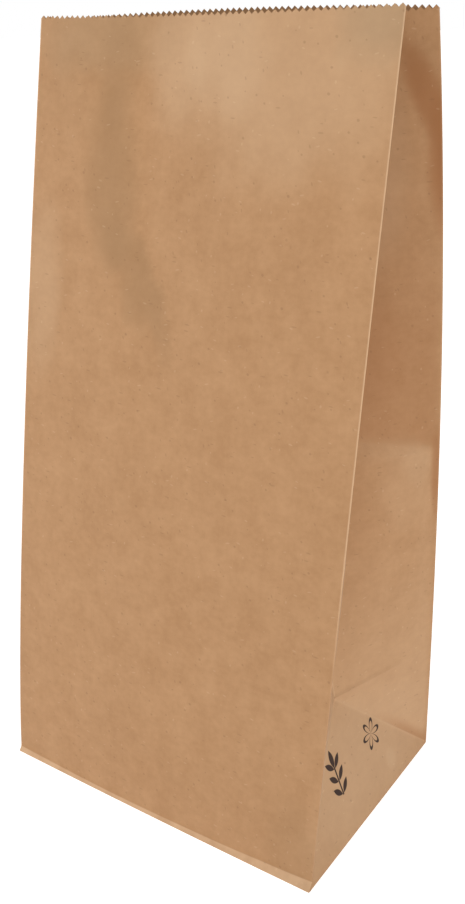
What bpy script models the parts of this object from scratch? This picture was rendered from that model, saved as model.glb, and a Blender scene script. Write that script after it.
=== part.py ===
"""Brown paper lunch bag: one folded sheet with gusseted sides and a flat, flapped base.

Metres, +Z up. The bag stands on its base at the origin, with its plain front panel towards -Y.
A point of the sheet is known by its column (how far round the bag) and its sheet height
(how far up the paper from the base fold), so that widths and heights measured along the
paper stay true where the bag leans, bows or folds in.
"""
import math

import bpy
import bmesh

# Driving dimensions of the flat bag
PANEL_WIDTH = 0.156
GUSSET_WIDTH = 0.105
FRONT_HEIGHT = 0.319
BACK_HEIGHT = 0.315
PAPER = 0.0001
BASE_PLIES = 4
FLAP_OVERLAP = 0.020
SEAM_WIDTH = 0.014
SEAM_FROM_MIDDLE = 0.022

# How far the opened bag is closed at its mouth, and how its panels curve on the way up
MOUTH_GAP = 0.025
BACK_LEAN = 0.024
BACK_CURVE = 2.7
FRONT_CURVE_LEFT = 1.19
FRONT_CURVE_RIGHT = 1.06
FRONT_MOUTH_BOW = 0.0030
BACK_MOUTH_BOW = 0.0040
FRONT_BASE_BOW = 0.0013
STREAK_DEPTH = 0.0016
STREAK_WIDTH = 0.016
STREAK_AT_RIM = 0.18
STREAK_DRIFT = 0.34
STREAK_FOOT = 0.41
STREAK_FADE = 0.45
BACK_CREASE_DEPTH = 0.0015

# The side gussets fold in as deep as their width allows. A soft swelling, low on the walls,
# ends in a step that slants down from the centre crease to the fold.
APEX_SHIFT = 0.3
SWELL = 0.0045
SWELL_RISE = 0.080
STEP_FROM = 0.139
STEP_HEIGHT = 0.021
STEP_SLANT = 0.012

# The pinched fold along the front of the base
LIP_REACH = 0.0022
LIP_HEIGHT = 0.0032
LIP_LEFT_SHARE = 0.5

# The rim, cut by a toothed knife
TOOTH_PITCH = 0.0026
TOOTH_DEPTH = 0.0014
RIM_FRONT_DIP = 0.0017
RIM_BACK_CROWN = 0.0022
RIM_STRIP = 0.0035

# Mesh spacing along the paper
CELL = 0.0112
GUSSET_CELLS = 6
MITRE_LIMIT = 14.0
WORKING_SCALE = 1000.0

KRAFT = (0.491, 0.288, 0.144, 1.0)

HALF_PANEL = PANEL_WIDTH / 2
HALF_GUSSET = GUSSET_WIDTH / 2
FRONT_LEAN = GUSSET_WIDTH - BACK_LEAN - MOUTH_GAP
FLAP_DEPTH = HALF_GUSSET + FLAP_OVERLAP / 2
FLAP_END = HALF_PANEL - FLAP_DEPTH


def smooth_step(value):
    """0 below 0, 1 above 1, and an even curve between."""
    value = min(1.0, max(0.0, value))
    return value * value * (3 - 2 * value)


def bump(share):
    """0 at both ends of a panel and 1 at its middle."""
    return 4 * share * (1 - share)


def mix(first, second, share):
    """The point that lies this share of the way from the first to the second."""
    return tuple(a + (b - a) * share for a, b in zip(first, second))


def leaning(height, length, lean, curve):
    """How far a panel has leaned at a sheet height, and how high that point then stands."""
    share = height / length
    drop = (lean * curve) ** 2 / (2 * length * (2 * curve - 1)) * share ** (2 * curve - 1)
    return lean * share ** curve, height - drop


def lip_share(share):
    """How strong the pinched base fold is, from the front panel's left to its right."""
    return LIP_LEFT_SHARE + (1 - LIP_LEFT_SHARE) * share


def front_point(share, height):
    """A point of the front panel; share runs from its left fold to its right fold."""
    curve = FRONT_CURVE_LEFT + (FRONT_CURVE_RIGHT - FRONT_CURVE_LEFT) * share
    lean, rise = leaning(height, FRONT_HEIGHT, FRONT_LEAN, curve)
    up = height / FRONT_HEIGHT
    bow = bump(share) * (FRONT_MOUTH_BOW * up ** 2 + FRONT_BASE_BOW * (1 - up) ** 3)
    streak_share = STREAK_AT_RIM + STREAK_DRIFT * (1 - up)
    streak_offset = (share - streak_share) * PANEL_WIDTH / STREAK_WIDTH
    streak = bump(share) * smooth_step((up - STREAK_FOOT) / STREAK_FADE)
    bow -= STREAK_DEPTH * streak * math.exp(-streak_offset ** 2)
    lip = max(0.0, 1 - height / (LIP_HEIGHT * lip_share(share))) * LIP_REACH * lip_share(share)
    return (PANEL_WIDTH * (share - 0.5), lean - bow - lip - HALF_GUSSET, rise)


def back_point(share, height):
    """A point of the back panel; share runs from its left fold to its right fold."""
    lean, rise = leaning(height, BACK_HEIGHT, BACK_LEAN, BACK_CURVE)
    bow = bump(share) * BACK_MOUTH_BOW * (height / BACK_HEIGHT) ** 2
    bow -= bump(share) * BACK_CREASE_DEPTH * max(0.0, 1 - abs(height / HALF_GUSSET - 1))
    return (PANEL_WIDTH * (share - 0.5), HALF_GUSSET - lean + bow, rise)


def centre_crease(side, height):
    """The inward crease of a gusset above the base triangle; side is -1 at the left."""
    end = (1 + side) / 2
    front = front_point(end, height)
    back = back_point(end, height)
    chord = back[1] - front[1]
    deepest = math.sqrt(max(0.0, HALF_GUSSET ** 2 - (chord / 2) ** 2))
    shift = APEX_SHIFT + (1 - APEX_SHIFT) * smooth_step(height / HALF_GUSSET - 1)
    middle = (front[1] + back[1]) / 2 * shift
    return (side * (HALF_PANEL - deepest), middle, (front[2] + back[2]) / 2 - apex_drop(side))


def apex_drop(side):
    """How much lower the tip of the tilted base triangle stands than the panels beside it."""
    end = (1 + side) / 2
    front = front_point(end, HALF_GUSSET)
    back = back_point(end, HALF_GUSSET)
    chord = back[1] - front[1]
    return (front[2] + back[2]) / 2 - chord / 2


def swelling(away, height):
    """How far a gusset half swells outwards; away runs from its centre crease to its fold."""
    rise = smooth_step((height - HALF_GUSSET) / SWELL_RISE)
    fall = smooth_step((height - STEP_FROM - STEP_SLANT * (1 - away)) / STEP_HEIGHT)
    return SWELL * bump(away) * rise * (1 - fall)


def gusset_point(side, share, height):
    """A point of a side gusset; share runs from its front fold to its back fold."""
    end = (1 + side) / 2
    front = front_point(end, height)
    back = back_point(end, height)
    if height >= HALF_GUSSET:
        fold = front if share < 0.5 else back
        away = abs(share - 0.5) / 0.5
        x, y, z = mix(centre_crease(side, height), fold, away)
        return (x + side * swelling(away, height), y, z)
    apex = centre_crease(side, HALF_GUSSET)
    up = height / HALF_GUSSET
    edge = height / GUSSET_WIDTH
    inner_share = min(1 - edge, max(edge, share))
    base_front = front_point(end, 0.0)
    base_back = back_point(end, 0.0)
    base = mix(base_front, base_back, inner_share)
    middle = (side * HALF_PANEL, 0.0, 0.0)
    triangle = tuple(b + up * (a - m) for a, b, m in zip(apex, base, middle))
    if share < edge:
        return mix(front, triangle, share / edge)
    if share > 1 - edge:
        return mix(back, triangle, (1 - share) / edge)
    return triangle


def rim_height(panel, share):
    """The sheet height of the tooth tips at a place on the rim."""
    if panel == "front":
        return FRONT_HEIGHT - RIM_FRONT_DIP * bump(share)
    if panel == "back":
        return BACK_HEIGHT + RIM_BACK_CROWN * bump(share)
    return FRONT_HEIGHT + (BACK_HEIGHT - FRONT_HEIGHT) * share


def sheet_point(column, height):
    """The outside of the sheet at a column and a sheet height."""
    panel, share, lift = column
    if panel == "front":
        return front_point(share, height)
    if panel == "back":
        x, y, z = back_point(share, height)
        return (x, y + lift, z)
    return gusset_point(1 if panel == "right" else -1, share, height)


def spread(breaks, longest):
    """Even cells between each pair of break points, none of them longer than this."""
    values = [breaks[0]]
    for low, high in zip(breaks, breaks[1:]):
        cells = max(1, math.ceil((high - low) / longest - 0.01))
        values += [low + (high - low) * step / cells for step in range(1, cells + 1)]
    return values


def sheet_columns():
    """Columns round the bag, anticlockwise from above, starting at the left front fold."""
    flap_marks = [-FLAP_END, FLAP_END]
    front_marks = spread([-HALF_PANEL] + flap_marks + [HALF_PANEL], CELL)
    seam_end = SEAM_FROM_MIDDLE + SEAM_WIDTH
    seam_marks = [SEAM_FROM_MIDDLE, SEAM_FROM_MIDDLE + 2 * PAPER, seam_end]
    back_marks = spread(sorted([-HALF_PANEL] + flap_marks + seam_marks + [HALF_PANEL]), CELL)
    gusset_shares = [step / (2 * GUSSET_CELLS) for step in range(2 * GUSSET_CELLS)]
    columns = [("front", mark / PANEL_WIDTH + 0.5, 0.0) for mark in front_marks[:-1]]
    columns += [("right", share, 0.0) for share in gusset_shares]
    for mark in reversed(back_marks[1:]):
        on_seam = SEAM_FROM_MIDDLE + PAPER < mark < seam_end + PAPER
        columns.append(("back", mark / PANEL_WIDTH + 0.5, PAPER if on_seam else 0.0))
    columns += [("left", 1 - share, 0.0) for share in gusset_shares]
    return columns


def row_heights(column):
    """Sheet heights of a column's rows: the lip, the base triangle, the walls and the rim's foot."""
    panel, share, lift = column
    lip = LIP_HEIGHT * (lip_share(share) if panel == "front" else 1.0)
    if panel == "left":
        lip *= LIP_LEFT_SHARE
    triangle = [HALF_GUSSET * step / GUSSET_CELLS for step in range(1, GUSSET_CELLS + 1)]
    foot = rim_height(panel, share) - RIM_STRIP
    cells = math.ceil((BACK_HEIGHT - HALF_GUSSET) / CELL)
    wall = [HALF_GUSSET + (foot - HALF_GUSSET) * step / cells for step in range(1, cells + 1)]
    return [0.0, lip] + triangle + wall


def rim_rings(columns):
    """The valleys and the tips of the rim's teeth, with one point of each for each column."""
    levels = [rim_height(panel, share) for panel, share, lift in columns]
    valleys = [sheet_point(c, level - TOOTH_DEPTH) for c, level in zip(columns, levels)]
    tips = [sheet_point(c, level) for c, level in zip(columns, levels)]
    return valleys, tips


def inset_ring(ring, distance):
    """The ring moved inwards by a distance, with mitred corners; heights are kept."""
    inner = []
    for index, point in enumerate(ring):
        before = ring[index - 1]
        after = ring[(index + 1) % len(ring)]
        normals = []
        for start, end in ((before, point), (point, after)):
            along = (end[0] - start[0], end[1] - start[1])
            length = math.hypot(*along)
            normals.append((-along[1] / length, along[0] / length))
        (ax, ay), (bx, by) = normals
        reach = min(distance / max(1e-9, 1 + ax * bx + ay * by), distance * MITRE_LIMIT ** 2 / 2)
        inner.append((point[0] + reach * (ax + bx), point[1] + reach * (ay + by), point[2]))
    return inner


def add_ring(mesh, ring):
    return [mesh.verts.new(point) for point in ring]


def resize(mesh, factor):
    """Scales the whole mesh about the origin."""
    bmesh.ops.scale(mesh, vec=(factor, factor, factor), verts=mesh.verts[:])


def skin_face(mesh, corners, outside):
    """A face seen from outside the sheet, or from inside the bag where outside is False."""
    mesh.faces.new(corners if outside else list(reversed(corners)))


def wall_faces(mesh, columns, rings, outside):
    """Two triangles for each cell, split along the direction that the base diagonals run."""
    count = len(columns)
    for low, high in zip(rings, rings[1:]):
        for index in range(count):
            after = (index + 1) % count
            panel, share, lift = columns[index]
            falling = (panel == "right" and share >= 0.5) or (panel == "left" and share <= 0.5)
            a, b, c, d = low[index], low[after], high[after], high[index]
            if falling:
                skin_face(mesh, [a, b, d], outside)
                skin_face(mesh, [b, c, d], outside)
            else:
                skin_face(mesh, [a, b, c], outside)
                skin_face(mesh, [a, c, d], outside)


def cell_width(columns, index):
    """The paper's width between a column and the next one."""
    panel, share, lift = columns[index]
    next_panel, next_share, next_lift = columns[(index + 1) % len(columns)]
    if next_panel != panel:
        next_share = 1.0 if panel in ("front", "right") else 0.0
    width = PANEL_WIDTH if panel in ("front", "back") else GUSSET_WIDTH
    return abs(next_share - share) * width


def tooth_line(mesh, columns, valleys, tips):
    """For each cell, the vertices of its row of teeth, from its column to the next."""
    lines = []
    posts = [mesh.verts.new(point) for point in valleys]
    for index in range(len(columns)):
        after = (index + 1) % len(columns)
        teeth = max(1, round(cell_width(columns, index) / TOOTH_PITCH))
        if cell_width(columns, index) < TOOTH_PITCH / 2:
            teeth = 0
        line = [posts[index]]
        for step in range(1, 2 * teeth):
            level = tips if step % 2 else valleys
            place = mix(level[index], level[after], step / (2 * teeth))
            line.append(mesh.verts.new(place))
        line.append(posts[after])
        lines.append(line)
    return lines


def tooth_faces(mesh, foot, lines, outside):
    """Triangles between the foot of the rim and its teeth."""
    for index, line in enumerate(lines):
        left = foot[index]
        right = foot[(index + 1) % len(foot)]
        low = line[0::2] if len(line) > 2 else line
        half = len(low) // 2
        for step in range(half):
            skin_face(mesh, [left, low[step + 1], low[step]], outside)
        skin_face(mesh, [left, right, low[half]], outside)
        for step in range(half, len(low) - 1):
            skin_face(mesh, [right, low[step + 1], low[step]], outside)
        for step in range(1, len(line) - 1, 2):
            skin_face(mesh, [line[step - 1], line[step + 1], line[step]], outside)


def serrated(start, end, level, towards):
    """Points from start to end at a level, with teeth that point towards a side in Y or X."""
    length = math.dist(start, end)
    teeth = max(1, round(length / TOOTH_PITCH))
    points = []
    for step in range(1, 2 * teeth):
        x, y = mix(start, end, step / (2 * teeth))
        reach = TOOTH_DEPTH if step % 2 else 0.0
        points.append((x + towards[0] * reach, y + towards[1] * reach, level))
    return points


def step_wall(mesh, low, high):
    """The cut edge between two plies: a strip from the lower line of vertices to the upper."""
    for index in range(len(low) - 1):
        corners = [low[index], low[index + 1], high[index + 1], high[index]]
        unique = [v for place, v in enumerate(corners) if v is not corners[place - 1]]
        if len(unique) > 2:
            mesh.faces.new(unique)


def underside(mesh, columns, ring):
    """The base from below: front flap outermost, back flap under it, side flaps innermost."""
    sides = {"front": [], "right": [], "back": [], "left": []}
    for (panel, share, lift), vertex in zip(columns, ring):
        sides[panel].append(vertex)
    front, right, back, left = sides.values()
    front_right, back_right = right[0], back[0]
    back_left, front_left = left[0], front[0]
    meet = HALF_PANEL - HALF_GUSSET
    flap_tip = FLAP_OVERLAP / 2

    def stack(x, y, levels):
        return [mesh.verts.new((x, y, level * PAPER)) for level in levels]

    right_meet = stack(meet, 0.0, (0, 1, 2))
    left_meet = stack(-meet, 0.0, (0, 1, 2))
    right_tip = stack(FLAP_END, flap_tip, (0, 1))
    left_tip = stack(-FLAP_END, flap_tip, (0, 1))
    ends = ((FLAP_END, flap_tip), (-FLAP_END, flap_tip))
    cut_low = add_ring(mesh, serrated(*ends, 0.0, (0, 1)))
    cut_high = add_ring(mesh, serrated(*ends, PAPER, (0, 1)))

    front_flap = front + [front_right, right_meet[0], right_tip[0]] + cut_low + [left_tip[0], left_meet[0]]
    mesh.faces.new(list(reversed(front_flap)))
    back_flap = back + [back_left, left_meet[1], left_tip[1]] + cut_high[::-1] + [right_tip[1], right_meet[1]]
    mesh.faces.new(list(reversed(back_flap)))
    mesh.faces.new(list(reversed(right + [back_right, right_meet[2]])))
    mesh.faces.new(list(reversed(left + [front_left, left_meet[2]])))

    step_wall(mesh, [right_meet[0], right_tip[0]] + cut_low + [left_tip[0], left_meet[0]],
              [right_meet[1], right_tip[1]] + cut_high + [left_tip[1], left_meet[1]])
    mesh.faces.new([front_right, right_meet[0], right_meet[1], right_meet[2]])
    mesh.faces.new([left_meet[0], front_left, left_meet[2], left_meet[1]])
    mesh.faces.new([right_meet[1], back_right, right_meet[2]])
    mesh.faces.new([back_left, left_meet[1], left_meet[2]])


def inner_floor(mesh, columns, ring):
    """The base from inside: the side flaps lie on top, one ply above the middle."""
    def on_line(panel, x):
        share = x / PANEL_WIDTH + 0.5
        return next(i for i, c in enumerate(columns) if c[0] == panel and abs(c[1] - share) < 1e-6)

    count = len(columns)
    front_left, front_right = on_line("front", -FLAP_END), on_line("front", FLAP_END)
    back_right, back_left = on_line("back", FLAP_END), on_line("back", -FLAP_END)

    def arc(first, last):
        steps = (last - first) % count
        return [ring[(first + step) % count] for step in range(steps + 1)]

    right_arc = arc(front_right, back_right)
    left_arc = arc(back_left, front_left)

    def cut(first, last, level, towards):
        start = (first.co.x, first.co.y)
        end = (last.co.x, last.co.y)
        return add_ring(mesh, serrated(start, end, level, towards))

    top = ring[front_right].co.z
    sunk = {i: mesh.verts.new((ring[i].co.x, ring[i].co.y, top - PAPER))
            for i in (front_left, front_right, back_left, back_right)}
    right_top = cut(ring[back_right], ring[front_right], top, (-1, 0))
    right_low = cut(ring[back_right], ring[front_right], top - PAPER, (-1, 0))
    left_top = cut(ring[front_left], ring[back_left], top, (1, 0))
    left_low = cut(ring[front_left], ring[back_left], top - PAPER, (1, 0))
    mesh.faces.new(right_arc + right_top)
    mesh.faces.new(left_arc + left_top)
    front_inner = arc(front_left, front_right)[1:-1]
    back_inner = arc(back_right, back_left)[1:-1]
    front_sunk = [mesh.verts.new((v.co.x, v.co.y, top - PAPER)) for v in front_inner]
    back_sunk = [mesh.verts.new((v.co.x, v.co.y, top - PAPER)) for v in back_inner]
    floor = [sunk[front_left]] + front_sunk + [sunk[front_right]] + right_low[::-1]
    floor += [sunk[back_right]] + back_sunk + [sunk[back_left]] + left_low[::-1]
    mesh.faces.new(floor)
    step_wall(mesh, [sunk[back_right]] + right_low + [sunk[front_right]],
              [ring[back_right]] + right_top + [ring[front_right]])
    step_wall(mesh, [sunk[front_left]] + left_low + [sunk[back_left]],
              [ring[front_left]] + left_top + [ring[back_left]])
    step_wall(mesh, [sunk[front_left]] + front_sunk + [sunk[front_right]],
              [ring[front_left]] + front_inner + [ring[front_right]])
    step_wall(mesh, [sunk[back_right]] + back_sunk + [sunk[back_left]],
              [ring[back_right]] + back_inner + [ring[back_left]])


def kraft_material():
    material = bpy.data.materials.new("kraft_paper")
    material.use_nodes = True
    shader = material.node_tree.nodes["Principled BSDF"]
    shader.inputs["Base Color"].default_value = KRAFT
    shader.inputs["Roughness"].default_value = 0.85
    shader.inputs["Metallic"].default_value = 0.0
    return material


def paper_bag():
    """The whole bag as one closed solid of paper; the seam's second ply lies outside."""
    columns = sheet_columns()
    plain = [(panel, share, 0.0) for panel, share, lift in columns]
    heights = [row_heights(column) for column in columns]
    rows = len(heights[0])
    outer = [[sheet_point(c, h[row]) for c, h in zip(columns, heights)] for row in range(rows)]
    one_ply = [[sheet_point(c, h[row]) for c, h in zip(plain, heights)] for row in range(rows)]
    inner = [inset_ring(ring, PAPER) for ring in one_ply]
    floor_level = BASE_PLIES * PAPER
    foot = inset_ring([sheet_point(column, floor_level) for column in plain], 2 * PAPER)
    inner[0] = [(x, y, floor_level) for x, y, z in foot]

    mesh = bmesh.new()
    outer_rings = [add_ring(mesh, ring) for ring in outer]
    inner_rings = [add_ring(mesh, ring) for ring in inner]
    wall_faces(mesh, columns, outer_rings, True)
    wall_faces(mesh, columns, inner_rings, False)

    outer_teeth = tooth_line(mesh, columns, *rim_rings(columns))
    inner_teeth = tooth_line(mesh, columns, *[inset_ring(ring, PAPER) for ring in rim_rings(plain)])
    tooth_faces(mesh, outer_rings[-1], outer_teeth, True)
    tooth_faces(mesh, inner_rings[-1], inner_teeth, False)
    for outer_line, inner_line in zip(outer_teeth, inner_teeth):
        for step in range(len(outer_line) - 1):
            mesh.faces.new([outer_line[step], outer_line[step + 1], inner_line[step + 1], inner_line[step]])

    underside(mesh, columns, outer_rings[0])
    inner_floor(mesh, columns, inner_rings[0])
    resize(mesh, WORKING_SCALE)
    bmesh.ops.triangulate(mesh, faces=mesh.faces[:])
    resize(mesh, 1 / WORKING_SCALE)
    bmesh.ops.recalc_face_normals(mesh, faces=mesh.faces[:])

    data = bpy.data.meshes.new("paper_bag")
    mesh.to_mesh(data)
    mesh.free()
    bag = bpy.data.objects.new("paper_bag", data)
    data.materials.append(kraft_material())
    bpy.context.scene.collection.objects.link(bag)
    return bag


def main():
    for item in list(bpy.data.objects):
        bpy.data.objects.remove(item, do_unlink=True)
    paper_bag()


main()
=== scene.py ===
"""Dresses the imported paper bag: its folded sheet at full detail, kraft paper, floor, light and camera.

The sheet repeats the sizes of the CAD model, in metres. A point of the sheet is known by its
column (how far round the bag) and its sheet height (how far up the paper from the base fold),
and the same two lengths are the sheet's UV map, so that the paper's grain follows every fold.
"""
import math

import bmesh
import bpy
from mathutils import Matrix, Vector, noise


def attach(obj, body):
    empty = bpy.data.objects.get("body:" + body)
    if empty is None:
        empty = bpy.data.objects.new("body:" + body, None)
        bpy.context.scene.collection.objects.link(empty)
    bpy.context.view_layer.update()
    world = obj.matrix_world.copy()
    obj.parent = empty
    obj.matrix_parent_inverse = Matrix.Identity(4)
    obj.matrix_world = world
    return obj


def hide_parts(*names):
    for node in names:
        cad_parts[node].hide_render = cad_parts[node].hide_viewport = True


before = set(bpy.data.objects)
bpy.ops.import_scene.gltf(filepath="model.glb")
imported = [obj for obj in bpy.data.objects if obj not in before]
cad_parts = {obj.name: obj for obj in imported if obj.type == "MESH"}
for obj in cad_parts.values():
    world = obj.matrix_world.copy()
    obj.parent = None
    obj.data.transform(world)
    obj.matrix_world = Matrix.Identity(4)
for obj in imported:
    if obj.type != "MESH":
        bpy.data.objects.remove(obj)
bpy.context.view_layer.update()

# The flat bag
PANEL_WIDTH = 0.156
GUSSET_WIDTH = 0.105
FRONT_HEIGHT = 0.319
BACK_HEIGHT = 0.315
PAPER = 0.0001
BASE_PLIES = 4
FLAP_OVERLAP = 0.020
SEAM_WIDTH = 0.014
SEAM_FROM_MIDDLE = 0.022

# The opened bag
MOUTH_GAP = 0.025
BACK_LEAN = 0.024
BACK_CURVE = 2.7
FRONT_CURVE_LEFT = 1.19
FRONT_CURVE_RIGHT = 1.06
FRONT_MOUTH_BOW = 0.0030
BACK_MOUTH_BOW = 0.0040
FRONT_BASE_BOW = 0.0013
FRONT_MIDDLE_BOW = 0.0022
FOLD_ROUNDING = 0.0012
FOLD_SOFTENING = 0.012
BACK_CREASE_DEPTH = 0.0015
APEX_SHIFT = 0.3
SWELL = 0.0032
SWELL_RISE = 0.080
SWELL_START = 0.4
SWELL_END = 0.25
STEP_FROM = 0.144
STEP_HEIGHT = 0.010
STEP_SLANT = 0.012
LIP_REACH = 0.0022
LIP_HEIGHT = 0.0032
LIP_LEFT_SHARE = 0.62
LIP_MIDDLE_SHARE = 0.43
TOOTH_PITCH = 0.0027
TOOTH_DEPTH = 0.0012
RIM_FRONT_DIP = 0.0008
RIM_BACK_CROWN = 0.0014

# Soft folds of the front panel: the share of its width at the rim and the drift further down,
# the share of its height where it ends, its depth, its reach to the left and to the right, and
# how sharp its bottom is
FRONT_FOLDS = (
    (0.350, 0.30, 0.44, 0.0040, 0.044, 0.080, 0.2),
    (0.330, 0.22, 0.70, 0.0014, 0.014, 0.034, 1.0),
    (0.215, 0.14, 0.60, 0.0005, 0.008, 0.009, 1.0),
)
FOOT_REACH = 0.4

# The paper's own soft waves, the spacing of the mesh, and where its edges stay sharp
WAVE_WIDE = 0.034
WAVE_TALL = 0.075
WAVE_DEPTH = 0.0007
DIMPLE_SIZE = 0.012
DIMPLE_DEPTH = 0.00016
WAVES_START = 0.025
WAVE_SEED = 3.7
DIMPLE_SEED = 9.1
CELL = 0.0022
FOLD_ROWS = (0.0003, 0.0008)
LIP_ROWS = (0.0016, 0.0024, 0.0032)
MITRE_LIMIT = 14.0
SHARP_ANGLE = math.radians(60)

# Colours of the paper and its print, and of the light and shade painted on it
LIGHT_KRAFT = (0.484, 0.272, 0.133, 1.0)
DARK_KRAFT = (0.376, 0.195, 0.084, 1.0)
# Painted light: highlights, sheen and lit faces of the folds
PAINTED_LIGHT_KRAFT = (0.600, 0.404, 0.242, 1.0)
# Painted shade on the front's soft folds, and the darker glue of the back seam
SHADE_AND_GLUE_KRAFT = (0.300, 0.166, 0.073, 1.0)
# Painted shade in the gussets' hollow tops, above their step and above the base's diagonal crease
PAINTED_SHADE_KRAFT = (0.330, 0.140, 0.050, 1.0)
# Painted shade, greyer, along the front's rim
GREY_SHADE_KRAFT = (0.310, 0.225, 0.130, 1.0)
# Wear along the folds and the lip, with a painted highlight where they catch the light
WORN_AND_HIGHLIT_KRAFT = (0.740, 0.500, 0.310, 1.0)
PALE_FIBRE = (0.780, 0.580, 0.380, 1.0)
# Dark fibres and specks, and the painted shadow line along the back seam's free edge
BARK_FIBRE_AND_SEAM_SHADOW = (0.200, 0.100, 0.045, 1.0)
INK = (0.020, 0.006, 0.005, 1.0)

# Grains of the pulp: width and length in millimetres, turn, seed, detail, and share in the tone
GRAINS = {
    "cloud": (22.0, 34.0, math.pi / 2, 1.3, 2.0, 0.36),
    "patchy": (8.0, 9.0, 0.0, 14.2, 2.0, 0.50),
    "mottle": (2.4, 2.8, 0.0, 5.1, 3.0, 0.46),
    "pulp": (0.34, 0.7, 0.9, 8.6, 3.0, 0.16),
    "ribs": (0.8, 60.0, math.pi / 2, 2.2, 1.0, 0.06),
}
GRAIN_ROUGHNESS = 0.55

# Fibres and specks: length and width of their cells in millimetres, turn, seed, and the share of
# the cells that hold one; then a fleck's least radius as a share of its cell, and what is added
LIGHT_FIBRES = (
    (7.0, 2.6, 0.25, 11.0, 0.08),
    (5.0, 3.4, 1.7, 23.0, 0.07),
    (8.0, 2.4, 2.9, 31.0, 0.05),
)
DARK_FIBRES = (
    (9.0, 2.4, 0.05, 47.0, 0.10),
    (6.0, 2.6, 1.2, 59.0, 0.07),
)
SPECKS = ((4.6, 3.8, 0.6, 71.0, 0.14),)
FLECK_RADIUS = 0.07
FLECK_VARIATION = 0.09

# Patches of the sheet in millimetres: colour, middle, half size, sideways lean as they rise, and
# strength. They are painted light and shade: the pale ones paint highlights, sheen and lit faces, the
# others painted shade. The uneven ones have clouded edges; the even ones end at the back fold.
UNEVEN_LIGHT_AND_SHADE = (
    (PAINTED_LIGHT_KRAFT, (90.0, 305.0), (22.0, 28.0), 0.0, 0.26),
    (PAINTED_LIGHT_KRAFT, (116.0, 304.0), (68.0, 54.0), 0.0, 0.32),
    (PAINTED_LIGHT_KRAFT, (8.0, 214.0), (14.0, 44.0), 0.0, 0.24),
    (PAINTED_LIGHT_KRAFT, (238.0, 266.0), (14.0, 50.0), 0.0, 0.22),
    (SHADE_AND_GLUE_KRAFT, (42.0, 260.0), (16.0, 40.0), -0.10, 0.48),
    (SHADE_AND_GLUE_KRAFT, (58.0, 221.0), (13.0, 34.0), -0.50, 0.46),
    (SHADE_AND_GLUE_KRAFT, (24.0, 300.0), (34.0, 34.0), 0.0, 0.14),
    (GREY_SHADE_KRAFT, (34.0, 312.0), (40.0, 22.0), 0.0, 0.22),
    (GREY_SHADE_KRAFT, (152.0, 316.0), (24.0, 18.0), 0.0, 0.34),
    (SHADE_AND_GLUE_KRAFT, (148.0, 14.0), (18.0, 26.0), 0.0, 0.24),
    (PAINTED_LIGHT_KRAFT, (208.0, 22.0), (64.0, 38.0), 0.0, 0.24),
    (PAINTED_SHADE_KRAFT, (236.0, 192.0), (14.0, 26.0), 0.0, 0.20),
)
EVEN_LIGHT_AND_SHADE = (
    (PAINTED_SHADE_KRAFT, (256.0, 286.0), (7.5, 24.0), -0.35, 0.80),
    (PAINTED_SHADE_KRAFT, (263.0, 264.0), (9.5, 34.0), 0.0, 0.95),
    (PAINTED_LIGHT_KRAFT, (68.0, 304.0), (16.0, 32.0), 0.0, 0.22),
    (SHADE_AND_GLUE_KRAFT, (42.0, 300.0), (11.0, 30.0), 0.0, 0.26),
    (PAINTED_SHADE_KRAFT, (260.5, 138.0), (5.0, 26.0), 0.0, 0.70),
    (PAINTED_LIGHT_KRAFT, (249.0, 144.0), (9.0, 12.0), 0.0, 0.12),
    (PAINTED_LIGHT_KRAFT, (244.0, 136.0), (16.0, 26.0), 0.0, 0.12),
    (PAINTED_LIGHT_KRAFT, (232.0, 10.0), (5.0, 6.0), 0.0, 0.26),
)

# Edges of the uneven patches: how far the clouds and the mottle move them, across and up
CLOUD_WANDER = (9.0, 22.0)
MOTTLE_WANDER = 2.0
STEP_WANDER = 3.0

# Lines of the folds, and the painted shadow line of the seam: distances from the fold in millimetres
# where a line ends and where it is full
FOLD_LINE = (0.85, 0.35)
CENTRE_LINE = (0.7, 0.1)
BASE_LINE = (0.8, 0.1)
SEAM_SHADOW_LINE = (0.45, 0.15)
JOIN_SOFTNESS = 0.5

# Wear of the folds, with the painted highlight of the upright ones, as shares: the upright folds low
# down and at full height, with the heights between; those of the back, with the distances from its
# middle; and the other creases
WEAR_AND_HIGHLIGHT_HEIGHTS = (70.0, 150.0)
LOW_WEAR_AND_HIGHLIGHT = 0.08
BACK_WEAR_AND_HIGHLIGHT = 0.3
BACK_WEAR_AND_HIGHLIGHT_ENDS = (85.0, 100.0)
CREASE_WEAR = 0.55
DIAGONAL_WEAR = 0.2
CROSS_WEAR = 0.12

# Bands in millimetres: where each starts, is full, begins to end and has ended. The pale foot (painted
# light) and the tucked shade (a painted shadow) lie in the gussets; the other two, painted shade over
# the step and painted light under it, are measured from the slanting step's line.
FOOT_BAND = (-1.0, 1.0, 20.0, 150.0)
OVER_STEP_BAND = (-1.5, 3.0, 30.0, 110.0)
UNDER_STEP_BAND = (-14.0, -1.0, -2.0, 0.0)
TUCK_BAND = (0.0, 0.6, 0.8, 5.5)
TUCK_REACH = (70.0, 96.0, 104.5, 106.0)
STEP_LINE_HEIGHT = 164.0
STEP_LINE_SLOPE = 0.28

# Strengths of the marks, as shares of their own colour; the foot, step and tuck marks are painted
# light and shade, the seam's edge a painted shadow line, and the fold and lip marks wear with a
# painted highlight
LIT_FOOT_STRENGTH = 0.24
SHADE_OVER_STEP_STRENGTH = 0.34
LIT_UNDER_STEP_STRENGTH = 0.12
TUCK_SHADOW_STRENGTH = 0.50
LIGHT_FIBRE_STRENGTH = 0.13
DARK_FIBRE_STRENGTH = 0.26
SPECK_STRENGTH = 0.30
WEAR_AND_HIGHLIGHT_STRENGTH = 0.50
SEAM_SHADOW_STRENGTH = 0.55
SEAM_STRIP_STRENGTH = 0.10
SEAM_STRIP_VARIATION = 0.24
LIP_STRENGTH = 0.20
LIP_VARIATION = 0.50
INK_STRENGTH = 0.96

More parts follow.
